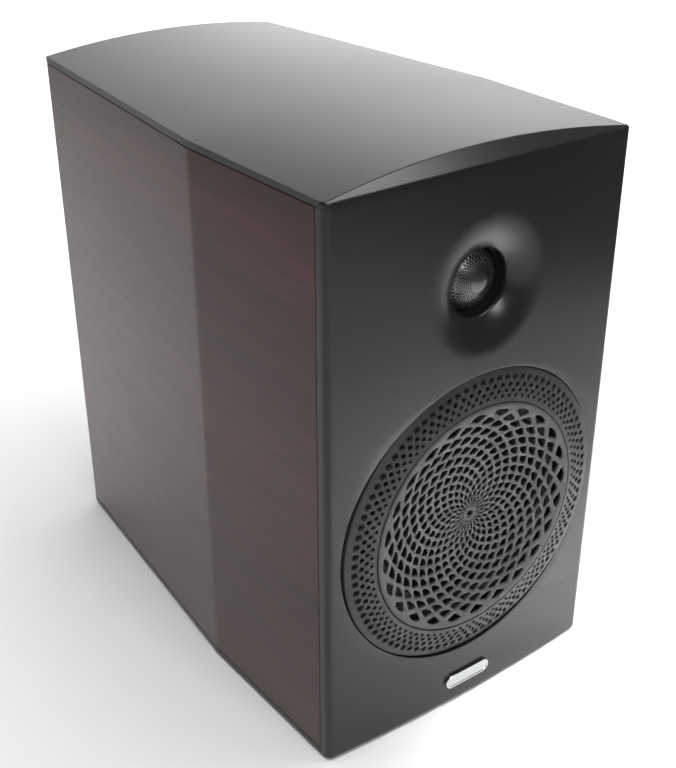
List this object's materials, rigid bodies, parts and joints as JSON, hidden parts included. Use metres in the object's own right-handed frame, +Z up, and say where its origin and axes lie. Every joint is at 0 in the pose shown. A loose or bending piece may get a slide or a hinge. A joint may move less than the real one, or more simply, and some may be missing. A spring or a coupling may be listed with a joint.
{
  "type": "bookshelf speaker",
  "caption": "Two-way bookshelf speaker with bowed front, perforated woofer lens, recessed dome tweeter, tapered sides, rear bass port and binding posts.",
  "frame": {"origin": "centre of the bounding box's base, on the surface the feet stand on", "axes": "+Z up, front baffle facing -Y, +X to the right seen from the front"},
  "size_m": [0.2012, 0.3284, 0.3384],
  "materials": {
    "side_veneer": "gloss lacquer over dark veneer",
    "black_lacquer": "satin black lacquer on board",
    "raw_board": "raw fibreboard",
    "fascia_black": "satin black moulding",
    "grey_moulding": "fine satin moulding",
    "badge_chrome": "polished",
    "rubber_black": "matt",
    "cone_poly": "mineral-filled cone",
    "cast_basket": "black powder coat",
    "guard_metal": "perforated sheet, dark anodised",
    "plated_steel": "zinc plated",
    "dark_steel": "black oxide",
    "ferrite_magnet": "pressed ferrite",
    "coil_copper": "enamelled copper winding",
    "amber_cloth": "resin-treated cloth",
    "dome_metal": "thin anodised dome",
    "circuit_board": "solder mask",
    "film_capacitor": "wrapped film",
    "wadding_white": "loose polyester wadding",
    "lead_red": "soft insulation",
    "gold_plate": "gold plated brass",
    "cap_black": "clear-coated black grip",
    "cap_red": "clear-coated red grip"
  },
  "bodies": {
    "root": {"left_side_panel": "side_veneer", "right_side_panel": "side_veneer", "top_panel": "black_lacquer", "bottom_panel": "black_lacquer", "rear_panel": "black_lacquer", "inner_baffle": "raw_board", "shelf_brace": "raw_board", "front_fascia": "fascia_black", "woofer_trim_ring": "grey_moulding", "woofer_lens": "grey_moulding", "port_tube": "grey_moulding", "terminal_cup": "grey_moulding", "badge_plate": "badge_chrome", "foot_front_left": "rubber_black", "foot_front_right": "rubber_black", "foot_rear_left": "rubber_black", "foot_rear_right": "rubber_black", "woofer_surround": "rubber_black", "tweeter_surround": "rubber_black", "woofer_basket": "cast_basket", "tweeter_plate": "cast_basket", "tweeter_rear_chamber": "cast_basket", "tweeter_mesh_guard": "guard_metal", "woofer_top_plate": "plated_steel", "woofer_back_plate": "plated_steel", "tweeter_top_plate": "plated_steel", "tweeter_back_plate": "plated_steel", "woofer_screw_1": "dark_steel", "woofer_screw_2": "dark_steel", "woofer_screw_3": "dark_steel", "woofer_screw_4": "dark_steel", "tweeter_screw_1": "dark_steel", "tweeter_screw_2": "dark_steel", "cup_screw_1": "dark_steel", "cup_screw_2": "dark_steel", "cup_screw_3": "dark_steel", "cup_screw_4": "dark_steel", "woofer_magnet": "ferrite_magnet", "tweeter_magnet": "ferrite_magnet", "woofer_inductor": "coil_copper", "tweeter_inductor": "coil_copper", "woofer_spider": "amber_cloth", "crossover_board": "circuit_board", "woofer_capacitor": "film_capacitor", "tweeter_capacitor": "film_capacitor", "damping_wadding": "wadding_white", "woofer_lead": "lead_red", "tweeter_lead": "lead_red", "positive_post": "gold_plate", "negative_post": "gold_plate"},
    "woofer_moving": {"woofer_cone": "cone_poly", "woofer_dust_cap": "cone_poly", "woofer_coil_former": "amber_cloth", "woofer_voice_coil": "coil_copper"},
    "tweeter_moving": {"tweeter_dome": "dome_metal", "tweeter_voice_coil": "coil_copper"},
    "positive_slider": {"positive_washer": "gold_plate"},
    "positive_nut": {"positive_cap": "cap_red"},
    "negative_slider": {"negative_washer": "gold_plate"},
    "negative_nut": {"negative_cap": "cap_black"}
  },
  "joints": [
    {"name": "woofer_cone_travel", "type": "slide", "parent": "root", "child": "woofer_moving", "axis": [0, -1, 0], "range_m": [-0.005, 0.005], "stiffness_N_per_m": 1000, "deforming": ["woofer_surround", "woofer_spider"]},
    {"name": "tweeter_dome_travel", "type": "slide", "parent": "root", "child": "tweeter_moving", "axis": [0, -1, 0], "range_m": [-0.0005, 0.0005], "stiffness_N_per_m": 200, "deforming": ["tweeter_surround"]},
    {"name": "positive_washer_travel", "type": "slide", "parent": "root", "child": "positive_slider", "axis": [0, 1, 0], "range_m": [0, 0.005]},
    {"name": "positive_cap_turn", "type": "hinge", "parent": "positive_slider", "child": "positive_nut", "pos_m": [0.0095, 0.152, 0.087], "axis": [0, 1, 0], "range_deg": [0, 1800]},
    {"name": "negative_washer_travel", "type": "slide", "parent": "root", "child": "negative_slider", "axis": [0, 1, 0], "range_m": [0, 0.005]},
    {"name": "negative_cap_turn", "type": "hinge", "parent": "negative_slider", "child": "negative_nut", "pos_m": [-0.0095, 0.152, 0.087], "axis": [0, 1, 0], "range_deg": [0, 1800]}
  ],
  "couplings": [
    {"joint": "positive_cap_turn", "follows": "positive_washer_travel", "rad_per_m": 6283.2},
    {"joint": "negative_cap_turn", "follows": "negative_washer_travel", "rad_per_m": 6283.2}
  ]
}
